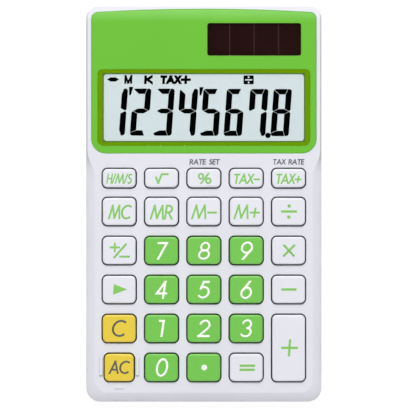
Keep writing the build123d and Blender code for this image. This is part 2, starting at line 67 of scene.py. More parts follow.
# shared shader groups
def makeMouldGrain():
    # fine spark-eroded skin of moulded plastic, with a faint cloudiness in its colour
    tree, start, end = newGroup("mouldGrain", "ShaderNodeTree", [
        ("Colour", "NodeSocketColor", (0.8, 0.8, 0.8, 1)),
        ("Grain Scale", "NodeSocketFloat", 9000.0),
        ("Cloud Scale", "NodeSocketFloat", 60.0),
        ("Cloud Amount", "NodeSocketFloat", 0.03),
        ("Roughness Low", "NodeSocketFloat", 0.35),
        ("Roughness High", "NodeSocketFloat", 0.45),
    ], [("Colour", "NodeSocketColor"), ("Roughness", "NodeSocketFloat"), ("Height", "NodeSocketFloat")])
    place = addNode(tree, "ShaderNodeTexCoord")
    grain = addNode(tree, "ShaderNodeTexNoise")
    cloud = addNode(tree, "ShaderNodeTexNoise")
    setInputs(grain, Detail=3.0, Roughness=0.6)
    setInputs(cloud, Detail=2.0)
    shade = addNode(tree, "ShaderNodeMapRange")
    setInputs(shade, From_Min=0.3, From_Max=0.7, To_Min=1.0)
    lower = addNode(tree, "ShaderNodeMath", operation="SUBTRACT")
    lower.inputs[0].default_value = 1.0
    tint = addNode(tree, "ShaderNodeVectorMath", operation="SCALE")
    polish = addNode(tree, "ShaderNodeMapRange")
    link = tree.links.new
    link(place.outputs["Object"], grain.inputs["Vector"])
    link(place.outputs["Object"], cloud.inputs["Vector"])
    link(start.outputs["Grain Scale"], grain.inputs["Scale"])
    link(start.outputs["Cloud Scale"], cloud.inputs["Scale"])
    link(start.outputs["Cloud Amount"], lower.inputs[1])
    link(cloud.outputs["Fac"], shade.inputs["Value"])
    link(lower.outputs[0], shade.inputs["To Max"])
    link(start.outputs["Colour"], tint.inputs[0])
    link(shade.outputs["Result"], tint.inputs["Scale"])
    link(cloud.outputs["Fac"], polish.inputs["Value"])
    link(start.outputs["Roughness Low"], polish.inputs["To Min"])
    link(start.outputs["Roughness High"], polish.inputs["To Max"])
    link(tint.outputs["Vector"], end.inputs["Colour"])
    link(polish.outputs["Result"], end.inputs["Roughness"])
    link(grain.outputs["Fac"], end.inputs["Height"])
    return tree


def makeBrushedMetal():
    # long fine scratches along one axis, for springs, screws and the cell
    tree, start, end = newGroup("brushedMetal", "ShaderNodeTree", [
        ("Colour", "NodeSocketColor", (0.6, 0.6, 0.6, 1)),
        ("Stretch", "NodeSocketVector", (300.0, 9000.0, 9000.0)),
        ("Contrast", "NodeSocketFloat", 0.25),
    ], [("Colour", "NodeSocketColor"), ("Roughness", "NodeSocketFloat"), ("Height", "NodeSocketFloat")])
    place = addNode(tree, "ShaderNodeTexCoord")
    stretch = addNode(tree, "ShaderNodeMapping")
    scratch = addNode(tree, "ShaderNodeTexNoise")
    setInputs(scratch, Scale=1.0, Detail=4.0)
    darker = addNode(tree, "ShaderNodeMath", operation="SUBTRACT")
    darker.inputs[0].default_value = 1.0
    shade = addNode(tree, "ShaderNodeMapRange")
    setInputs(shade, From_Min=0.3, From_Max=0.7, To_Max=1.0)
    tint = addNode(tree, "ShaderNodeVectorMath", operation="SCALE")
    polish = addNode(tree, "ShaderNodeMapRange")
    setInputs(polish, To_Min=0.22, To_Max=0.42)
    link = tree.links.new
    link(place.outputs["Object"], stretch.inputs["Vector"])
    link(start.outputs["Stretch"], stretch.inputs["Scale"])
    link(stretch.outputs["Vector"], scratch.inputs["Vector"])
    link(start.outputs["Contrast"], darker.inputs[1])
    link(scratch.outputs["Fac"], shade.inputs["Value"])
    link(darker.outputs[0], shade.inputs["To Min"])
    link(start.outputs["Colour"], tint.inputs[0])
    link(shade.outputs["Result"], tint.inputs["Scale"])
    link(scratch.outputs["Fac"], polish.inputs["Value"])
    link(tint.outputs["Vector"], end.inputs["Colour"])
    link(polish.outputs["Result"], end.inputs["Roughness"])
    link(scratch.outputs["Fac"], end.inputs["Height"])
    return tree


def makeGapShade():
    # painted shade: a darker colour in a band of heights inside a field, for the slots round the keys and
    # the line round the display
    tree, start, end = newGroup("gapShade", "ShaderNodeTree", [
        ("Colour", "NodeSocketColor", (0.8, 0.8, 0.8, 1)),
        ("Shade", "NodeSocketColor", (0.02, 0.02, 0.022, 1)),
        ("Band Low", "NodeSocketFloat", 0.0054),
        ("Band High", "NodeSocketFloat", 0.00695),
        ("Field Half", "NodeSocketFloat", 1.0),
        ("Field Middle", "NodeSocketFloat", 0.0),
        ("Field Reach", "NodeSocketFloat", 1.0),
    ], [("Colour", "NodeSocketColor")])
    place = addNode(tree, "ShaderNodeTexCoord")
    split = addNode(tree, "ShaderNodeSeparateXYZ")
    sideways = addNode(tree, "ShaderNodeMath", operation="ABSOLUTE")
    inWidth = addNode(tree, "ShaderNodeMath", operation="LESS_THAN")
    offset = addNode(tree, "ShaderNodeMath", operation="SUBTRACT")
    lengthways = addNode(tree, "ShaderNodeMath", operation="ABSOLUTE")
    inLength = addNode(tree, "ShaderNodeMath", operation="LESS_THAN")
    above = addNode(tree, "ShaderNodeMath", operation="GREATER_THAN")
    below = addNode(tree, "ShaderNodeMath", operation="LESS_THAN")
    field = addNode(tree, "ShaderNodeMath", operation="MULTIPLY")
    band = addNode(tree, "ShaderNodeMath", operation="MULTIPLY")
    mask = addNode(tree, "ShaderNodeMath", operation="MULTIPLY")
    blend = addNode(tree, "ShaderNodeMix", data_type="RGBA")
    link = tree.links.new
    link(place.outputs["Object"], split.inputs[0])
    link(split.outputs["X"], sideways.inputs[0])
    link(sideways.outputs[0], inWidth.inputs[0])
    link(start.outputs["Field Half"], inWidth.inputs[1])
    link(split.outputs["Y"], offset.inputs[0])
    link(start.outputs["Field Middle"], offset.inputs[1])
    link(offset.outputs[0], lengthways.inputs[0])
    link(lengthways.outputs[0], inLength.inputs[0])
    link(start.outputs["Field Reach"], inLength.inputs[1])
    link(split.outputs["Z"], above.inputs[0])
    link(start.outputs["Band Low"], above.inputs[1])
    link(split.outputs["Z"], below.inputs[0])
    link(start.outputs["Band High"], below.inputs[1])
    link(inWidth.outputs[0], field.inputs[0])
    link(inLength.outputs[0], field.inputs[1])
    link(above.outputs[0], band.inputs[0])
    link(below.outputs[0], band.inputs[1])
    link(field.outputs[0], mask.inputs[0])
    link(band.outputs[0], mask.inputs[1])
    link(mask.outputs[0], blend.inputs["Factor"])
    link(start.outputs["Colour"], blend.inputs[6])
    link(start.outputs["Shade"], blend.inputs[7])
    link(blend.outputs[2], end.inputs["Colour"])
    return tree


mouldGrain = makeMouldGrain()
brushedMetal = makeBrushedMetal()
gapShade = makeGapShade()


# materials; depths of the fine relief are in metres
bumpDepth = {"plastic": 0.00002, "metal": 0.00001, "pattern": 0.00003}
bumpStrength = {"metal": 0.15, "pattern": 0.2}
clearCoat = {"hazeScale": 400.0, "hazeDetail": 2.0, "roughLow": 0.004, "roughHigh": 0.008,
             "index": 1.22}   # low, for a coat that dulls the glare


def startMaterial(name):
    material = bpy.data.materials.new(name)
    material.use_nodes = True
    tree = material.node_tree
    return material, tree, tree.nodes["Principled BSDF"]


def addBump(tree, shader, height, strength, distance):
    bump = addNode(tree, "ShaderNodeBump")
    setInputs(bump, Strength=strength, Distance=distance)
    tree.links.new(height, bump.inputs["Height"])
    tree.links.new(bump.outputs["Normal"], shader.inputs["Normal"])


def plastic(name, colour, rough=(0.38, 0.48), cloud=0.03, bump=0.08, specular=0.5, gap=None):
    material, tree, shader = startMaterial(name)
    skin = addNode(tree, "ShaderNodeGroup", node_tree=mouldGrain)
    setInputs(skin, Colour=colour, Cloud_Amount=cloud, Roughness_Low=rough[0], Roughness_High=rough[1])
    if gap is None:
        tree.links.new(skin.outputs["Colour"], shader.inputs["Base Color"])
    else:
        # painted shade from the gapShade group, where a mask is given
        slots = addNode(tree, "ShaderNodeGroup", node_tree=gapShade)
        setInputs(slots, **gap)
        tree.links.new(skin.outputs["Colour"], slots.inputs["Colour"])
        tree.links.new(slots.outputs["Colour"], shader.inputs["Base Color"])
    tree.links.new(skin.outputs["Roughness"], shader.inputs["Roughness"])
    addBump(tree, shader, skin.outputs["Height"], bump, bumpDepth["plastic"])
    shader.inputs["Specular IOR Level"].default_value = specular
    return material


def metal(name, colour, stretch=(300.0, 9000.0, 9000.0), contrast=0.25):
    material, tree, shader = startMaterial(name)
    skin = addNode(tree, "ShaderNodeGroup", node_tree=brushedMetal)
    setInputs(skin, Colour=colour, Stretch=stretch, Contrast=contrast)
    tree.links.new(skin.outputs["Colour"], shader.inputs["Base Color"])
    tree.links.new(skin.outputs["Roughness"], shader.inputs["Roughness"])
    addBump(tree, shader, skin.outputs["Height"], bumpStrength["metal"], bumpDepth["metal"])
    shader.inputs["Metallic"].default_value = 1.0
    return material


def clearSheet(name, tint):
    # acrylic or glass: mirrors and bends what is seen, and lets the light of lamps and floor through
    material, tree, shader = startMaterial(name)
    place = addNode(tree, "ShaderNodeTexCoord")
    haze = addNode(tree, "ShaderNodeTexNoise")
    setInputs(haze, Scale=clearCoat["hazeScale"], Detail=clearCoat["hazeDetail"])
    polish = addNode(tree, "ShaderNodeMapRange")
    setInputs(polish, To_Min=clearCoat["roughLow"], To_Max=clearCoat["roughHigh"])
    rays = addNode(tree, "ShaderNodeLightPath")
    lit = addNode(tree, "ShaderNodeMath", operation="MAXIMUM")
    through = addNode(tree, "ShaderNodeBsdfTransparent")
    either = addNode(tree, "ShaderNodeMixShader")
    link = tree.links.new
    link(place.outputs["Object"], haze.inputs["Vector"])
    link(haze.outputs["Fac"], polish.inputs["Value"])
    link(polish.outputs["Result"], shader.inputs["Roughness"])
    link(rays.outputs["Is Shadow Ray"], lit.inputs[0])
    link(rays.outputs["Is Diffuse Ray"], lit.inputs[1])
    link(lit.outputs[0], either.inputs[0])
    link(shader.outputs[0], either.inputs[1])
    link(through.outputs[0], either.inputs[2])
    link(either.outputs[0], tree.nodes["Material Output"].inputs["Surface"])
    shader.inputs["Base Color"].default_value = tint
    shader.inputs["Transmission Weight"].default_value = 1.0
    shader.inputs["IOR"].default_value = clearCoat["index"]
    through.inputs["Color"].default_value = tint
    return material


def patterned(name, low, high, texture, scale, rough, **settings):
    # two-tone surface from one texture: laminate, foam, layered rubber
    material, tree, shader = startMaterial(name)
    place = addNode(tree, "ShaderNodeTexCoord")
    pattern = addNode(tree, texture, **settings)
    setInputs(pattern, Scale=scale)
    ramp = addNode(tree, "ShaderNodeValToRGB")
    ramp.color_ramp.elements[0].color = low
    ramp.color_ramp.elements[1].color = high
    tree.links.new(place.outputs["Object"], pattern.inputs["Vector"])
    value = pattern.outputs[0] if texture != "ShaderNodeTexNoise" else pattern.outputs["Fac"]
    tree.links.new(value, ramp.inputs["Fac"])
    tree.links.new(ramp.outputs["Color"], shader.inputs["Base Color"])
    addBump(tree, shader, value, bumpStrength["pattern"], bumpDepth["pattern"])
    shader.inputs["Roughness"].default_value = rough
    return material


# where painted shade darkens the slots on the deck and the keys' sides, and where the painted shadow line
# runs round the display
slotShadeField = {"Band_High": 0.00695, "Field_Half": 0.0308, "Field_Middle": -0.0212, "Field_Reach": 0.0324}
keySideShade = {"Band_High": 0.00698}
# painted shadow line along the inner edge of the display's olive border
borderWidth = {"sides": 0.00142, "ends": 0.00107}
windowLow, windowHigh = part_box("window_border")
displayEdgeShadow = {"Shade": (0.085, 0.165, 0.035, 1), "Band_Low": 0.0, "Band_High": 1.0,
              "Field_Half": (windowHigh[0] - windowLow[0]) / 2 - borderWidth["sides"],
              "Field_Reach": (windowHigh[1] - windowLow[1]) / 2 - borderWidth["ends"],
              "Field_Middle": (windowLow[1] + windowHigh[1]) / 2}
looks = {
    # the deck and the keys carry painted shade in and beside the key slots
    "deckShell": plastic("deckShell", (0.672, 0.672, 0.725, 1), rough=(0.42, 0.5), specular=0.12,
                         gap=slotShadeField),
    "whiteShell": plastic("whiteShell", (0.672, 0.672, 0.725, 1), rough=(0.42, 0.5), specular=0.12),
    "whiteKey": plastic("whiteKey", (0.712, 0.712, 0.762, 1), rough=(0.3, 0.38), bump=0.04, gap=keySideShade),
    "greenKey": plastic("greenKey", (0.163, 0.508, 0.076, 1), rough=(0.3, 0.38), bump=0.04, gap=keySideShade),
    "yellowKey": plastic("yellowKey", (0.725, 0.545, 0.05, 1), rough=(0.3, 0.38), bump=0.04, gap=keySideShade),
    "greenPanel": plastic("greenPanel", (0.136, 0.458, 0.036, 1), rough=(0.3, 0.36), bump=0.01,
                          specular=0.17),
    # the olive border carries a painted shadow line along its inner edge
    "oliveBorder": plastic("oliveBorder", (0.14, 0.284, 0.0005, 1), rough=(0.4, 0.5), bump=0.02,
                           specular=0.0, gap=displayEdgeShadow),
    "solarGlass": plastic("solarGlass", (0.018, 0.005, 0.005, 1), rough=(0.4, 0.5), bump=0.01,
                          specular=0.05),
    "clearLens": clearSheet("clearLens", (0.97, 0.985, 0.98, 1)),
    "solarLens": clearSheet("solarLens", (0.85, 0.78, 0.77, 1)),
    "displayFilm": plastic("displayFilm", (0.587, 0.639, 0.667, 1), rough=(0.35, 0.45), cloud=0.015,
                           bump=0.01),
    "displayGlass": clearSheet("displayGlass", (0.93, 0.97, 0.96, 1)),
    "reflector": plastic("reflector", (0.60, 0.66, 0.68, 1), rough=(0.3, 0.4), cloud=0.05),
    "foam": patterned("foam", (0.02, 0.02, 0.02, 1), (0.09, 0.09, 0.09, 1),
                      "ShaderNodeTexVoronoi", 2500.0, 0.9),
    "layeredRubber": patterned("layeredRubber", (0.03, 0.03, 0.035, 1), (0.35, 0.32, 0.30, 1),
                               "ShaderNodeTexWave", 1200.0, 0.6, bands_direction="X"),
    "laminate": patterned("laminate", (0.10, 0.055, 0.015, 1), (0.26, 0.17, 0.06, 1),
                          "ShaderNodeTexNoise", 700.0, 0.5),
    "blackResin": plastic("blackResin", (0.012, 0.012, 0.013, 1), rough=(0.25, 0.4), bump=0.1),
    "chipCeramic": plastic("chipCeramic", (0.42, 0.31, 0.19, 1), rough=(0.5, 0.6), bump=0.1),
    "matRubber": plastic("matRubber", (0.42, 0.42, 0.43, 1), rough=(0.6, 0.75), cloud=0.08, bump=0.1),
    "carbon": plastic("carbon", (0.01, 0.01, 0.01, 1), rough=(0.6, 0.8), bump=0.2),
    "cellSteel": metal("cellSteel", (0.66, 0.66, 0.65, 1)),
    "clipSteel": metal("clipSteel", (0.62, 0.61, 0.58, 1), stretch=(9000.0, 300.0, 9000.0)),
    "screwSteel": metal("screwSteel", (0.56, 0.56, 0.55, 1), contrast=0.35),
    "redLead": plastic("redLead", (0.5, 0.02, 0.015, 1), rough=(0.35, 0.5)),
    "blackLead": plastic("blackLead", (0.012, 0.012, 0.012, 1), rough=(0.35, 0.5)),
    "greenInk": plastic("greenInk", (0.205, 0.51, 0.095, 1), rough=(0.45, 0.55), bump=0.05),
    "whiteInk": plastic("whiteInk", (0.90, 0.93, 0.84, 1), rough=(0.45, 0.55), bump=0.05),
    "greyInk": plastic("greyInk", (0.075, 0.08, 0.095, 1), rough=(0.45, 0.55), bump=0.05),
    "segmentInk": plastic("segmentInk", (0.0005, 0.0005, 0.0006, 1), rough=(0.6, 0.7), bump=0.02,
                          specular=0.0),
    "cellLine": plastic("cellLine", (0.034, 0.017, 0.016, 1), rough=(0.3, 0.4), bump=0.02),
}

nodeLooks = {
    "front_case": "deckShell", "rear_case": "whiteShell", "display_panel": "greenPanel",
    "window_lens": "clearLens", "window_border": "oliveBorder", "solar_window": "solarLens",
    "solar_cell": "solarGlass", "lcd_front_polariser": "displayFilm", "lcd_front_glass": "displayGlass",
    "lcd_rear_glass": "displayGlass", "lcd_reflector": "reflector", "lcd_cushion": "foam",
    "zebra_connector": "layeredRubber", "circuit_board": "laminate", "chip_blob": "blackResin",
    "chip_capacitors": "chipCeramic", "chip_resistors": "blackResin", "key_mat": "matRubber",
    "contact_pills": "carbon", "button_cell": "cellSteel", "battery_clip_positive": "clipSteel",
    "battery_clip_negative": "clipSteel", "solar_lead_red": "redLead", "solar_lead_black": "blackLead",
    "case_screws": "screwSteel", "board_screws": "screwSteel",
}
greenKeys = ("key_zero", "key_one", "key_two", "key_three", "key_four", "key_five", "key_six",
             "key_seven", "key_eight", "key_nine", "key_point")
yellowKeys = ("key_clear", "key_all_clear")

for name, obj in cadNodes.items():
    look = nodeLooks.get(name)
    if look is None:
        look = "greenKey" if name in greenKeys else "yellowKey" if name in yellowKeys else "whiteKey"
    obj.data.materials.clear()
    obj.data.materials.append(looks[look])
# the thin rims round the windows throw no shadow on the display
for name in ("display_panel", "window_border"):
    cadNodes[name].visible_shadow = False
print("materials on", len(cadNodes), "CAD nodes")


# print: flat ink shapes, drawn as strokes and filled shapes
arcStep = 12     # degrees between the points of an arc
discEnd = 345    # a disc's last point stops short of its first


def arc(centreX, centreY, radiusX, radiusY, fromDegrees, toDegrees):
    sweep = toDegrees - fromDegrees
    steps = max(3, int(abs(sweep) / arcStep))
    turns = [math.radians(fromDegrees + sweep * i / steps) for i in range(steps + 1)]
    return [(centreX + radiusX * math.cos(turn), centreY + radiusY * math.sin(turn)) for turn in turns]


def disc(centreX, centreY, radius):
    return arc(centreX, centreY, radius, radius, 0, discEnd)


# each mark: advance and strokes on a unit height
# two points make a straight bar, more a curved stroke
marks = {
    "0": (0.66, [arc(0.33, 0.5, 0.33, 0.5, 90, 450)]),
    "1": (0.26, [[(0.26, 1.0), (0.26, 0)], [(0, 1.0), (0.26, 1.0)]]),
    "2": (0.66, [arc(0.32, 0.70, 0.30, 0.30, 170, -38) + [(0.06, 0.03)], [(0, 0), (0.66, 0)]]),
    "3": (0.60, [arc(0.28, 0.75, 0.26, 0.25, 168, -90), arc(0.28, 0.265, 0.31, 0.265, 90, -162)]),
    "4": (0.70, [[(0.52, 1.0), (0, 0.27)], [(0, 0.27), (0.70, 0.27)], [(0.52, 0), (0.52, 1.0)]]),
    "5": (0.66, [arc(0.29, 0.335, 0.37, 0.335, 125, -150), [(0.22, 1.0), (0.09, 0.58)],
                 [(0.22, 1.0), (0.56, 1.0)]]),
    "6": (0.64, [arc(0.32, 0.32, 0.32, 0.32, 90, 450), [(0.45, 1.0), (0.06, 0.47)]]),
    "7": (0.62, [[(0, 1.0), (0.62, 1.0)], [(0.62, 1.0), (0.14, 0)]]),
    "8": (0.62, [arc(0.31, 0.75, 0.25, 0.25, 90, 450), arc(0.31, 0.265, 0.31, 0.265, 90, 450)]),
    "9": (0.64, [arc(0.32, 0.68, 0.32, 0.32, 90, 450), [(0.58, 0.53), (0.19, 0)]]),
    "A": (0.76, [[(0, 0), (0.38, 1.0)], [(0.38, 1.0), (0.76, 0)], [(0.14, 0.3), (0.62, 0.3)]]),
    "C": (0.80, [arc(0.5, 0.5, 0.5, 0.5, 48, 312)]),
    "E": (0.40, [[(0, 0), (0, 1)], [(0, 1), (0.40, 1)], [(0, 0.52), (0.36, 0.52)], [(0, 0), (0.40, 0)]]),
    "H": (0.52, [[(0, 0), (0, 1)], [(0.52, 0), (0.52, 1)], [(0, 0.52), (0.52, 0.52)]]),
    "K": (0.50, [[(0, 0), (0, 1)], [(0.45, 0.97), (0.04, 0.42)], [(0.12, 0.56), (0.48, 0.04)]]),
    "M": (0.98, [[(0, 0), (0.18, 1.0)], [(0.18, 1.0), (0.49, 0.04)], [(0.49, 0.04), (0.80, 1.0)],
                 [(0.80, 1.0), (0.98, 0)]]),
    "stemM": (0.80, [[(0, 0), (0, 1)], [(0, 1), (0.40, 0)], [(0.40, 0), (0.80, 1)],
                     [(0.80, 1), (0.80, 0)]]),
    "R": (0.52, [[(0, 0), (0, 1)], [(0, 1), (0.18, 1)], [(0, 0.48), (0.18, 0.48)],
                 arc(0.18, 0.74, 0.28, 0.26, 90, -90), [(0.22, 0.48), (0.52, 0)]]),
    "S": (0.46, [arc(0.25, 0.765, 0.19, 0.235, 30, 265) + arc(0.21, 0.265, 0.22, 0.265, 75, -150)]),
    "T": (0.54, [[(0, 1), (0.54, 1)], [(0.27, 1), (0.27, 0)]]),
    "X": (0.60, [[(0, 0), (0.56, 1)], [(0.04, 1), (0.60, 0)]]),
    "/": (0.24, [[(0, 0), (0.24, 1)]]),
    "+": (0.62, [[(0, 0.44), (0.62, 0.44)], [(0.31, 0.13), (0.31, 0.75)]]),
    "-": (0.56, [[(0, 0.44), (0.56, 0.44)]]),
    "%": (1.10, [arc(0.22, 0.74, 0.21, 0.26, 90, 450), arc(0.88, 0.26, 0.21, 0.26, 90, 450),
                 [(0.24, 0), (0.88, 1)]]),
    "root": (1.40, [[(0, 0.62), (0.26, 0)], [(0.26, 0), (0.69, 1)], [(0.69, 1), (1.40, 1)]]),
    "sign": (1.20, [[(0, 0.72), (0.55, 0.72)], [(0.275, 0.46), (0.275, 0.98)],
                    [(0.2, 0), (0.615, 0.49), (1.03, 0.98)], [(0.62, 0.1), (1.20, 0.1)]]),
    "bar": (1.0, [[(0, 0.5), (1, 0.5)]]),
    "cross": (1.0, [[(0, 0), (0.5, 0.5), (1, 1)], [(0, 1), (0.5, 0.5), (1, 0)]]),
    "plus": (1.0, [[(0, 0.5), (1, 0.5)], [(0.5, 0), (0.5, 1)]]),
    "equals": (1.0, [[(0, 0), (1, 0)], [(0, 1), (1, 1)]]),
    " ": (0.34, []),
}


def makeStrokeTree():
    # thin flat ribbon along each curved stroke
    tree, start, end = newGroup("inkStrokes", "GeometryNodeTree", [
        ("Geometry", "NodeSocketGeometry", None),
        ("Stroke Width", "NodeSocketFloat", 0.0006),
        ("Ink Thickness", "NodeSocketFloat", 0.00002),
        ("Ink", "NodeSocketMaterial", None),
    ], [("Geometry", "NodeSocketGeometry")])
    path = addNode(tree, "GeometryNodeMeshToCurve")
    flat = addNode(tree, "GeometryNodeSetCurveNormal", mode="Z_UP")
    nib = addNode(tree, "GeometryNodeCurvePrimitiveQuadrilateral", mode="RECTANGLE")
    ribbon = addNode(tree, "GeometryNodeCurveToMesh")
    ribbon.inputs["Fill Caps"].default_value = True
    real = addNode(tree, "GeometryNodeRealizeInstances")
    ink = addNode(tree, "GeometryNodeSetMaterial")
    link = tree.links.new
    link(start.outputs["Geometry"], path.inputs["Mesh"])
    link(path.outputs["Curve"], flat.inputs["Curve"])
    link(start.outputs["Stroke Width"], nib.inputs["Width"])
    link(start.outputs["Ink Thickness"], nib.inputs["Height"])
    link(flat.outputs["Curve"], ribbon.inputs["Curve"])
    link(nib.outputs["Curve"], ribbon.inputs["Profile Curve"])
    link(ribbon.outputs["Mesh"], real.inputs["Geometry"])
    link(real.outputs["Geometry"], ink.inputs["Geometry"])
    link(start.outputs["Ink"], ink.inputs["Material"])
    link(ink.outputs["Geometry"], end.inputs["Geometry"])
    return tree


def makeLineTree():
    # evenly spaced upright lines, as between the strips of the solar cell
    tree, start, end = newGroup("stripLines", "GeometryNodeTree", [
        ("Geometry", "NodeSocketGeometry", None),
        ("Line Count", "NodeSocketInt", 3),
        ("First Line", "NodeSocketVector", (0.0, 0.0, 0.0)),
        ("Line Step", "NodeSocketVector", (0.007, 0.0, 0.0)),
        ("Line Size", "NodeSocketVector", (0.0002, 0.0095, 0.00002)),
        ("Ink", "NodeSocketMaterial", None),
    ], [("Geometry", "NodeSocketGeometry")])
    row = addNode(tree, "GeometryNodeMeshLine", mode="OFFSET")
    bar = addNode(tree, "GeometryNodeMeshCube")
    spread = addNode(tree, "GeometryNodeInstanceOnPoints")
    real = addNode(tree, "GeometryNodeRealizeInstances")
    ink = addNode(tree, "GeometryNodeSetMaterial")
    link = tree.links.new
    link(start.outputs["Line Count"], row.inputs["Count"])
    link(start.outputs["First Line"], row.inputs["Start Location"])
    link(start.outputs["Line Step"], row.inputs["Offset"])
    link(start.outputs["Line Size"], bar.inputs["Size"])
    link(row.outputs["Mesh"], spread.inputs["Points"])
    link(bar.outputs["Mesh"], spread.inputs["Instance"])
    link(spread.outputs["Instances"], real.inputs["Geometry"])
    link(real.outputs["Geometry"], ink.inputs["Geometry"])
    link(start.outputs["Ink"], ink.inputs["Material"])
    link(ink.outputs["Geometry"], end.inputs["Geometry"])
    return tree


strokeTree = makeStrokeTree()
lineTree = makeLineTree()


def applyTree(name, mesh, tree, values):
    # runs the tree once and keeps the plain mesh it gives
    holder = bpy.data.objects.new(name + "Source", mesh)
    scene.collection.objects.link(holder)
    modifier = holder.modifiers.new("shape", "NODES")
    modifier.node_group = tree
    for item in tree.interface.items_tree:
        if item.in_out == "INPUT" and item.name in values:
            modifier[item.identifier] = values[item.name]
    holder.update_tag()
    bpy.context.view_layer.update()
    depsgraph = bpy.context.evaluated_depsgraph_get()
    result = bpy.data.meshes.new_from_object(holder.evaluated_get(depsgraph))
    bpy.data.objects.remove(holder)
    result.name = name
    return result


sameSpot = 1e-6   # ends of a stroke closer than this close it, in millimetres


def strokeMesh(name, strokes):
    # curved strokes in millimetres, as lines at their own heights
    mesh = bpy.data.meshes.new(name + "Lines")
    points = []
    edges = []
    for stroke, height in strokes:
        first = len(points)
        closed = math.dist(stroke[0], stroke[-1]) < sameSpot
        kept = stroke[:-1] if closed else stroke
        points += [(x * mm, y * mm, height * mm) for x, y in kept]
        edges += [(first + i, first + i + 1) for i in range(len(kept) - 1)]
        if closed:
            edges.append((first + len(kept) - 1, first))
    mesh.from_pydata(points, edges, [])
    return mesh


def barOutline(stroke, width):
    # straight stroke with its ends cut level, or upright where it runs across
    # it reaches half a width past its ends
    (x0, y0), (x1, y1) = stroke
    half = width / 2
    runX, runY = x1 - x0, y1 - y0
    length = math.hypot(runX, runY)
    if abs(runY) >= abs(runX):
        side = half * length / abs(runY)
        rise = math.copysign(half, runY)
        ease = rise * runX / runY
        return [(x0 - ease - side, y0 - rise), (x0 - ease + side, y0 - rise),
                (x1 + ease + side, y1 + rise), (x1 + ease - side, y1 + rise)]
    side = half * length / abs(runX)
    reach = math.copysign(half, runX)
    ease = reach * runY / runX
    return [(x0 - reach, y0 - ease - side), (x1 + reach, y1 + ease - side),
            (x1 + reach, y1 + ease + side), (x0 - reach, y0 - ease + side)]


def addFilled(bm, outline, bottom, top):
    # upright prism over a flat outline in millimetres
    low = [bm.verts.new((x * mm, y * mm, bottom * mm)) for x, y in outline]
    high = [bm.verts.new((x * mm, y * mm, top * mm)) for x, y in outline]
    bm.faces.new(list(reversed(low)))
    bm.faces.new(high)
    count = len(outline)
    for i in range(count):
        j = (i + 1) % count
        bm.faces.new((low[i], low[j], high[j], high[i]))


inkLayer = {"gap": 0.004, "thickness": 0.02, "step": 0.002}   # in millimetres


def printPiece(name, body, look, face, strokes=(), strokeWidth=0.6, fills=()):
    # one ink object on a face; each stroke lies a hair above the last, so that crossings stay clean
    bm = bmesh.new()
    curved = []
    level = face + inkLayer["gap"]
    for stroke in strokes:
        if len(stroke) == 2:
            addFilled(bm, barOutline(stroke, strokeWidth), level, level + inkLayer["thickness"])
        else:
            curved.append((stroke, level + inkLayer["thickness"] / 2))
        level += inkLayer["step"]
    for outline in fills:
        addFilled(bm, outline, level, level + inkLayer["thickness"])
    if curved:
        values = {"Stroke Width": strokeWidth * mm, "Ink Thickness": inkLayer["thickness"] * mm,
                  "Ink": looks[look]}
        bm.from_mesh(applyTree(name, strokeMesh(name, curved), strokeTree, values))
    bmesh.ops.recalc_face_normals(bm, faces=bm.faces)
    mesh = bpy.data.meshes.new(name)
    bm.to_mesh(mesh)
    bm.free()
    mesh.materials.clear()
    mesh.materials.append(looks[look])
    piece = bpy.data.objects.new(name, mesh)
    scene.collection.objects.link(piece)
    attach(piece, body)


fitRounds = 12   # rounds of stretching until a text has its width


def setText(text, width, height, strokeWidth, slant, gap):
    # strokes of a row of marks, leaned and fitted to an outer width and height around the origin
    strokes = []
    cursor = 0.0
    for mark in text:
        advance, lines = marks[mark]
        strokes += [[(cursor + x, y) for x, y in line] for line in lines]
        cursor += advance + gap
    tall = height - strokeWidth
    lean = slant * tall

    def placed(stretch):
        return [[(x * stretch + (y - 0.5) * lean, (y - 0.5) * tall) for x, y in line] for line in strokes]

    def reach(lines):
        across = []
        for line in lines:
            outline = barOutline(line, strokeWidth) if len(line) == 2 else [
                (x + side * strokeWidth / 2, y) for x, y in line for side in (-1, 1)]
            across += [x for x, y in outline]
        return min(across), max(across)

    stretch = (width - strokeWidth) / (cursor - gap)
    for _ in range(fitRounds):
        low, high = reach(placed(stretch))
        stretch += (width - high + low) / (cursor - gap)
    low, high = reach(placed(stretch))
    return [[(x - (low + high) / 2, y) for x, y in line] for line in placed(stretch)]


def shifted(outline, x, y):
    return [(px + x, py + y) for px, py in outline]


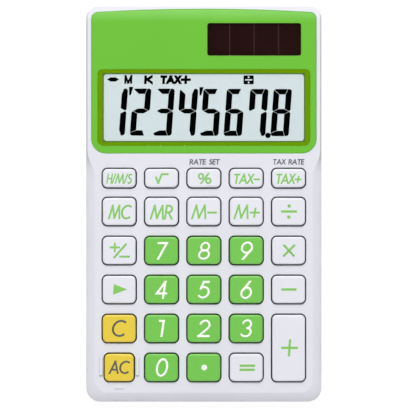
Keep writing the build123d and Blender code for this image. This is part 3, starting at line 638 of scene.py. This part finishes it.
# legend of each key: marks, outer width and height, stroke, shift to the right, rise, in millimetres
legendStyle = {"slant": 0.15, "gap": 0.16}
digitSize = (3.65, 5.4, 0.62)
legends = {
    "key_time": (["H", "/", "M", "/", "S"], 7.9, 3.05, 0.40, 0.08, -0.15),
    "key_root": (["root"], 4.2, 3.2, 0.56, 0.04, -0.13),
    "key_percent": (["%"], 4.05, 3.3, 0.50, 0.24, -0.09),
    "key_tax_minus": (["T", "A", "X", "-"], 7.7, 3.05, 0.50, 0.24, -0.21),
    "key_tax_plus": (["T", "A", "X", "+"], 7.5, 3.05, 0.50, 0.09, -0.21),
    "key_memory_clear": (["M", "C"], 7.4, 4.4, 0.56, 0.3, -0.12),
    "key_memory_recall": (["M", "R"], 7.1, 4.4, 0.56, -0.08, -0.18),
    "key_memory_minus": (["M", "-"], 7.8, 4.4, 0.56, -0.02, -0.09),
    "key_memory_plus": (["M", "+"], 8.0, 4.4, 0.56, 0.08, -0.09),
    "key_sign": (["sign"], 6.1, 5.0, 0.58, 0.21, -0.03),
    "key_seven": (["7"], 3.65, 5.3, 0.62, 0.31, -0.09),
    "key_eight": (["8"],) + digitSize + (0.07, -0.09),
    "key_nine": (["9"],) + digitSize + (0.21, -0.03),
    "key_multiply": (["cross"], 4.15, 4.1, 0.62, 0.1, 0.0),
    "key_four": (["4"], 3.75, 5.35, 0.60, -0.13, -0.06),
    "key_five": (["5"], 3.75, 5.35, 0.62, -0.1, -0.06),
    "key_six": (["6"], 3.5, 5.5, 0.62, -0.03, -0.12),
    "key_minus": (["bar"], 4.6, 0.72, 0.72, 0.05, 0.03),
    "key_clear": (["C"], 4.5, 5.1, 0.60, 0.1, 0.09),
    "key_one": (["1"], 1.85, 5.1, 0.62, 0.12, 0.09),
    "key_two": (["2"], 4.0, 5.2, 0.62, 0.01, 0.06),
    "key_three": (["3"], 3.7, 5.4, 0.62, -0.09, 0.06),
    "key_plus": (["plus"], 5.05, 5.1, 0.70, 0.25, 0.09),
    "key_all_clear": (["A", "C"], 6.7, 4.0, 0.54, 0.09, 0.12),
    "key_zero": (["0"], 3.75, 5.6, 0.66, 0.16, 0.03),
    "key_equals": (["equals"], 4.7, 1.94, 0.70, 0.3, -0.03),
}
signSlant = {"key_plus": 0.07, "key_equals": 0.07, "key_multiply": 0.05, "key_minus": 0.0,
             "key_sign": 0.0, "key_root": 0.0, "key_percent": 0.0}
divideSign = {"bar": 4.8, "stroke": 0.70, "dotDiameter": 1.05, "dotStep": 1.66, "lean": 0.11,
              "shift": 0.09}
pointSign = {"diameter": 1.7, "shift": 0.1, "rise": 0.06}
arrowSign = {"outline": [(-2.05, -1.62), (2.15, 0.0), (-1.9, 1.62)], "shift": 0.26, "rise": 0.06}


def keyFace(node):
    # middle of a key's top face and its height, in millimetres
    low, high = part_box(node)
    return (low[0] + high[0]) / 2 / mm, (low[1] + high[1]) / 2 / mm, high[2] / mm


def keyInk(node):
    # look and slot of a key's ink
    if node in greenKeys:
        return "whiteInk", "white_key"
    if node in yellowKeys:
        return "greyInk", "black_resin"
    return "greenInk", "green_key"


def addKeyLegends():
    for node, (text, width, height, stroke, shift, rise) in legends.items():
        x, y, top = keyFace(node)
        slant = signSlant.get(node, legendStyle["slant"])
        lines = setText(text, width, height, stroke, slant, legendStyle["gap"])
        strokes = [shifted(line, x + shift, y + rise) for line in lines]
        look, slot = keyInk(node)
        printPiece("legend_" + node.removeprefix("key_"), node, look, top, strokes, stroke)
    # divide, decimal point and backspace arrow have filled parts
    x, y, top = keyFace("key_divide")
    x += divideSign["shift"]
    half = (divideSign["bar"] - divideSign["stroke"]) / 2
    dot = divideSign["dotDiameter"] / 2
    dots = [disc(x + side * divideSign["lean"] / 2, y + side * divideSign["dotStep"], dot)
            for side in (1, -1)]
    printPiece("legend_divide", "key_divide", "greenInk", top,
               [[(x - half, y), (x + half, y)]], divideSign["stroke"], dots)
    x, y, top = keyFace("key_point")
    spot = disc(x + pointSign["shift"], y + pointSign["rise"], pointSign["diameter"] / 2)
    printPiece("legend_point", "key_point", "whiteInk", top, fills=[spot])
    x, y, top = keyFace("key_backspace")
    arrow = shifted(arrowSign["outline"], x + arrowSign["shift"], y + arrowSign["rise"])
    printPiece("legend_backspace", "key_backspace", "greenInk", top, fills=[arrow])


addKeyLegends()
print("key legends done")


# small grey words on the deck above two keys: word, outer width, shift to the right
# the keys stand keyRise above the deck, and the words lie rise beyond the middle of their key
deckPrint = {"height": 1.62, "stroke": 0.30, "slant": 0.12, "gap": 0.2, "rise": 4.89, "keyRise": 1.0,
             "words": {"key_percent": ("RATE SET", 9.15, 0.22), "key_tax_plus": ("TAX RATE", 9.35, 0.07)}}


def addDeckPrint():
    deck = keyFace("key_time")[2] - deckPrint["keyRise"]
    for node, (word, width, shift) in deckPrint["words"].items():
        x, y, top = keyFace(node)
        text = setText(word, width, deckPrint["height"], deckPrint["stroke"], deckPrint["slant"],
                       deckPrint["gap"])
        lines = [shifted(line, x + shift, y + deckPrint["rise"]) for line in text]
        printPiece("deck_print_" + node.removeprefix("key_"), "case", "greyInk", deck,
                   lines, deckPrint["stroke"])


addDeckPrint()
print("deck print done")


# display: seven-segment digits and the small signs above them
digitShape = {"width": 5.6, "height": 14.2, "middle": 7.45, "upright": 1.88, "bar": 1.69, "waist": 0.76,
              "waistTip": 0.42, "notch": 0.55, "corner": 0.9, "cut": 0.65, "gap": 0.048}
digitRow = {"number": "12345678", "slant": 0.0726, "pitch": 7.02, "lastLeft": 19.85, "baseline": 20.29,
            "climb": 0.026}   # each digit to the left is a little higher, as in the photo
segmentsOf = {"1": "bc", "2": "abged", "3": "abgcd", "4": "fgbc", "5": "afgcd", "6": "afgedc",
              "7": "fabc", "8": "abcdefg"}
sharpCorner = 0.35   # keeps the inset of a sharp corner short

# small signs of the display, at their places on the case in millimetres
decimalPoint = {"x": 19.2, "y": 20.55, "radius": 0.82}
thousandsMark = {"places": ((-22.42, 32.62), (-1.33, 32.52)),
                 "outline": ((0.0, 2.5), (0.02, 0.0), (0.52, 0.0), (1.27, 2.5))}
minusSign = [(-29.05, 37.33), (-27.95, 36.71), (-26.45, 36.71), (-25.4, 37.33), (-26.45, 37.95),
             (-27.95, 37.95)]
smallSigns = {"height": 2.6, "stroke": 0.78, "slant": 0.05, "gap": 0.26, "y": 37.25,
              "texts": ((["K"], -16.63, 2.65), (["T", "A", "X", "plus"], -8.45, 9.1))}
memorySign = {"x": -22.57, "y": 37.35, "width": 2.65, "stroke": 0.6}
divideBox = {"x": 13.42, "y": 37.2, "halfWidth": 1.2, "halfHeight": 0.98, "corner": 0.34,
             "lift": 0.03, "barHalf": 0.88, "barStroke": 0.38, "dotStep": 0.78, "dotRadius": 0.27}


def segmentOutlines():
    # outer corners are round; each one goes with the segment that the cuts leave it to
    width, height, bar = digitShape["width"], digitShape["height"], digitShape["bar"]
    left, right = digitShape["upright"], digitShape["width"] - digitShape["upright"]
    high, low = digitShape["height"] - bar, bar
    middle, tip, notch = digitShape["middle"], digitShape["waistTip"], digitShape["notch"]
    over, under = middle + digitShape["waist"], middle - digitShape["waist"]
    corner, cut = digitShape["corner"], right + digitShape["cut"]

    def rounded(x, y, fromDegrees, toDegrees):
        return arc(x, y, corner, corner, fromDegrees, toDegrees)

    return {
        "a": rounded(corner, height - corner, 135, 90) + [(cut, height), (right, high), (left, high)],
        "b": [(cut, height)] + rounded(width - corner, height - corner, 80, 0)
             + [(width, middle + notch), (width - tip, middle), (right, over), (right, high)],
        "c": [(width - tip, middle), (width, middle - notch)] + rounded(width - corner, corner, 0, -80)
             + [(cut, 0), (right, low), (right, under)],
        "d": rounded(corner, corner, 180, 270) + [(cut, 0), (right, low), (left, low)],
        "e": [(tip, middle), (0, middle - notch), (0, corner), (left, low), (left, under)],
        "f": [(left, over), (tip, middle), (0, middle + notch)]
             + rounded(corner, height - corner, 180, 135) + [(left, high)],
        "g": [(tip, middle), (left, over), (right, over), (width - tip, middle), (right, under),
              (left, under)],
    }


def inset(outline, distance):
    # moves every side of a convex outline inwards
    area = sum(a[0] * b[1] - b[0] * a[1] for a, b in zip(outline, outline[1:] + outline[:1]))
    ring = outline if area > 0 else list(reversed(outline))
    result = []
    count = len(ring)
    for i in range(count):
        before, here, after = Vector(ring[i - 1]), Vector(ring[i]), Vector(ring[(i + 1) % count])
        along, onward = (here - before).normalized(), (after - here).normalized()
        left, right = Vector((-along.y, along.x)), Vector((-onward.y, onward.x))
        share = distance / max(sharpCorner, 1 + left.dot(right))
        result.append(tuple(here + (left + right) * share))
    return result


def leaned(outline, x, y, slant):
    return [(x + px + slant * py, y + py) for px, py in outline]


def addDigits(top):
    # the digits with their decimal point, thousands marks and minus sign
    shapes = segmentOutlines()
    fills = []
    number = digitRow["number"]
    for place, digit in enumerate(number):
        fromLast = len(number) - 1 - place
        left = digitRow["lastLeft"] - fromLast * digitRow["pitch"]
        base = digitRow["baseline"] + fromLast * digitRow["climb"]
        for segment in segmentsOf[digit]:
            outline = inset(shapes[segment], digitShape["gap"])
            fills.append(leaned(outline, left, base, digitRow["slant"]))
    fills.append(disc(decimalPoint["x"], decimalPoint["y"], decimalPoint["radius"]))
    for x, y in thousandsMark["places"]:
        fills.append(shifted(thousandsMark["outline"], x, y))
    fills.append(minusSign)
    printPiece("display_digits", "case", "segmentInk", top, fills=fills)


def smallText(text, x, y, width, stroke):
    lines = setText(text, width, smallSigns["height"], stroke, smallSigns["slant"], smallSigns["gap"])
    return [shifted(line, x, y) for line in lines]


def addSmallSigns(top):
    strokes = []
    for text, x, width in smallSigns["texts"]:
        strokes += smallText(text, x, smallSigns["y"], width, smallSigns["stroke"])
    printPiece("display_signs", "case", "segmentInk", top, strokes, smallSigns["stroke"])
    memory = smallText(["stemM"], memorySign["x"], memorySign["y"], memorySign["width"],
                       memorySign["stroke"])
    printPiece("display_memory_sign", "case", "segmentInk", top, memory,
               memorySign["stroke"])


def addDivideBox(top):
    # dark field with a light divide sign on it
    x, y, corner = divideBox["x"], divideBox["y"], divideBox["corner"]
    field = []
    for turn, across, along in ((0, 1, 1), (90, -1, 1), (180, -1, -1), (270, 1, -1)):
        field += arc(x + across * divideBox["halfWidth"], y + along * divideBox["halfHeight"],
                     corner, corner, turn, turn + 90)
    printPiece("display_divide_field", "case", "segmentInk", top, fills=[field])
    bar = [(x - divideBox["barHalf"], y), (x + divideBox["barHalf"], y)]
    dots = [disc(x, y + side * divideBox["dotStep"], divideBox["dotRadius"]) for side in (1, -1)]
    printPiece("display_divide_sign", "case", "displayFilm", top + divideBox["lift"],
               [bar], divideBox["barStroke"], dots)


def addDisplay():
    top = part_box("lcd_front_polariser")[1][2] / mm
    addDigits(top)
    addSmallSigns(top)
    addDivideBox(top)


addDisplay()
print("display done")


# solar cell: lines between its four strips
solarLines = {"count": 3, "stripShare": 0.262, "width": 0.22, "endGap": 0.05, "lift": 0.01,
              "thickness": 0.02}


def addSolarLines():
    low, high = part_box("solar_window")
    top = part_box("solar_cell")[1][2]
    # the window's frame hides a little of the two end strips
    step = (high[0] - low[0]) * solarLines["stripShare"]
    first = (low[0] + high[0] - step * (solarLines["count"] - 1)) / 2
    middle = (low[1] + high[1]) / 2
    size = (solarLines["width"] * mm, high[1] - low[1] - solarLines["endGap"] * mm,
            solarLines["thickness"] * mm)
    values = {"Line Count": solarLines["count"], "Line Step": (step, 0.0, 0.0), "Line Size": size,
              "First Line": (first, middle, top + solarLines["lift"] * mm), "Ink": looks["cellLine"]}
    mesh = applyTree("solar_strip_lines", bpy.data.meshes.new("solarLineSource"), lineTree, values)
    piece = bpy.data.objects.new("solar_strip_lines", mesh)
    scene.collection.objects.link(piece)
    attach(piece, "case")


addSolarLines()
print("solar lines done")


# floor, lights and camera
studio = {"floorSize": 3.0, "floorDrop": 0.0002, "floorTint": (0.15, 0.15, 0.15, 1),
          "floorRough": 0.9, "floorSpecular": 0.1, "floorGlow": 0.92, "floorBounce": 0.1,
          "skyTint": (0.97, 0.98, 1.0, 1), "skyStrength": 0.25,
          "zenithStrength": 0.02, "zenithEdge": 32.0, "zenithCore": 12.0,
          "keyPower": 26.3, "keySize": 1.6, "keyDistance": 1.5, "keyElevation": 51.0,
          "sidePower": 0.18, "sideSize": 0.65, "sideDistance": 0.9, "sideElevation": 62.0,
          "nearPower": 9.2, "nearSize": 1.3, "nearDistance": 1.8, "nearElevation": 35.0}


def addFloor():
    half = studio["floorSize"] / 2
    mesh = bpy.data.meshes.new("floor")
    corners = [(-half, -half), (half, -half), (half, half), (-half, half)]
    mesh.from_pydata([(x, y, -studio["floorDrop"]) for x, y in corners], [], [(0, 1, 2, 3)])
    material, tree, shader = startMaterial("paleFloor")
    shader.inputs["Base Color"].default_value = studio["floorTint"]
    shader.inputs["Roughness"].default_value = studio["floorRough"]
    shader.inputs["Specular IOR Level"].default_value = studio["floorSpecular"]
    shader.inputs["Emission Color"].default_value = (1, 1, 1, 1)
    # the floor looks white, but throws less light back at the case than it shows
    rays = addNode(tree, "ShaderNodeLightPath")
    glow = addNode(tree, "ShaderNodeMapRange")
    setInputs(glow, To_Min=studio["floorGlow"], To_Max=studio["floorBounce"])
    tree.links.new(rays.outputs["Is Diffuse Ray"], glow.inputs["Value"])
    tree.links.new(glow.outputs["Result"], shader.inputs["Emission Strength"])
    mesh.materials.append(material)
    floor = bpy.data.objects.new("floor", mesh)
    scene.collection.objects.link(floor)


fadeBoost = 12 / math.pi   # keeps a lamp's total power when it fades to its rim


def fadeToEdge(light):
    # bright in the middle and fading to nothing at the rim, as a diffuser cloth does
    light.use_nodes = True
    tree = light.node_tree
    place = addNode(tree, "ShaderNodeNewGeometry")
    centred = addNode(tree, "ShaderNodeVectorMath", operation="MULTIPLY_ADD")
    centred.inputs[1].default_value = (2.0, 2.0, 0.0)
    centred.inputs[2].default_value = (-1.0, -1.0, 0.0)
    fade = addNode(tree, "ShaderNodeTexGradient", gradient_type="SPHERICAL")
    boost = addNode(tree, "ShaderNodeMath", operation="MULTIPLY")
    boost.inputs[1].default_value = fadeBoost
    tree.links.new(place.outputs["Parametric"], centred.inputs[0])
    tree.links.new(centred.outputs[0], fade.inputs["Vector"])
    tree.links.new(fade.outputs["Fac"], boost.inputs[0])
    tree.links.new(boost.outputs[0], tree.nodes["Emission"].inputs["Strength"])


def addAreaLight(name, place, target, size, power):
    data = bpy.data.lights.new(name, "AREA")
    data.size = size
    data.energy = power
    fadeToEdge(data)
    lamp = bpy.data.objects.new(name, data)
    lamp.location = place
    lamp.rotation_euler = (Vector(target) - Vector(place)).to_track_quat("-Z", "Y").to_euler()
    scene.collection.objects.link(lamp)


def addSky():
    # soft sky, darker straight above, so that the glossy windows mirror no light into the camera
    world = bpy.data.worlds.new("softSky")
    world.use_nodes = True
    tree = world.node_tree
    back = tree.nodes["Background"]
    back.inputs["Color"].default_value = studio["skyTint"]
    place = addNode(tree, "ShaderNodeTexCoord")
    split = addNode(tree, "ShaderNodeSeparateXYZ")
    dim = addNode(tree, "ShaderNodeMapRange", interpolation_type="SMOOTHSTEP")
    setInputs(dim, From_Min=math.cos(math.radians(studio["zenithEdge"])),
              From_Max=math.cos(math.radians(studio["zenithCore"])),
              To_Min=studio["skyStrength"], To_Max=studio["zenithStrength"])
    tree.links.new(place.outputs["Generated"], split.inputs[0])
    tree.links.new(split.outputs["Z"], dim.inputs["Value"])
    tree.links.new(dim.outputs["Result"], back.inputs["Strength"])
    scene.world = world


# softbox beyond the display end, and three weaker ones at the sides and the near end: bearing, kind
softboxes = {"topSoftbox": (90, "key"), "leftSoftbox": (180, "side"), "rightSoftbox": (0, "side"),
             "nearSoftbox": (270, "near")}


def addStudio():
    addFloor()
    addSky()
    for name, (bearing, kind) in softboxes.items():
        turn = math.radians(bearing)
        tilt = math.radians(studio[kind + "Elevation"])
        level = studio[kind + "Distance"] * math.cos(tilt)
        place = (level * math.cos(turn), level * math.sin(turn), studio[kind + "Distance"] * math.sin(tilt))
        addAreaLight(name, place, (0, 0, 0), studio[kind + "Size"], studio[kind + "Power"])


cameraView = {"lens": 200.0, "sensor": 36.0, "frameWidth": 122.24, "planeHeight": 6.5, "shift": 0.0003,
              "clipNear": 0.01, "clipFar": 20.0}


def addCamera():
    data = bpy.data.cameras.new("photoView")
    data.lens = cameraView["lens"]
    data.sensor_width = cameraView["sensor"]
    data.clip_start = cameraView["clipNear"]
    data.clip_end = cameraView["clipFar"]
    data.shift_x = cameraView["shift"]
    distance = cameraView["frameWidth"] * mm * cameraView["lens"] / cameraView["sensor"]
    camera = bpy.data.objects.new("photoView", data)
    camera.location = (0, 0, cameraView["planeHeight"] * mm + distance)
    scene.collection.objects.link(camera)
    scene.camera = camera


addStudio()
addCamera()
scene.view_settings.view_transform = "Standard"
print("studio done")
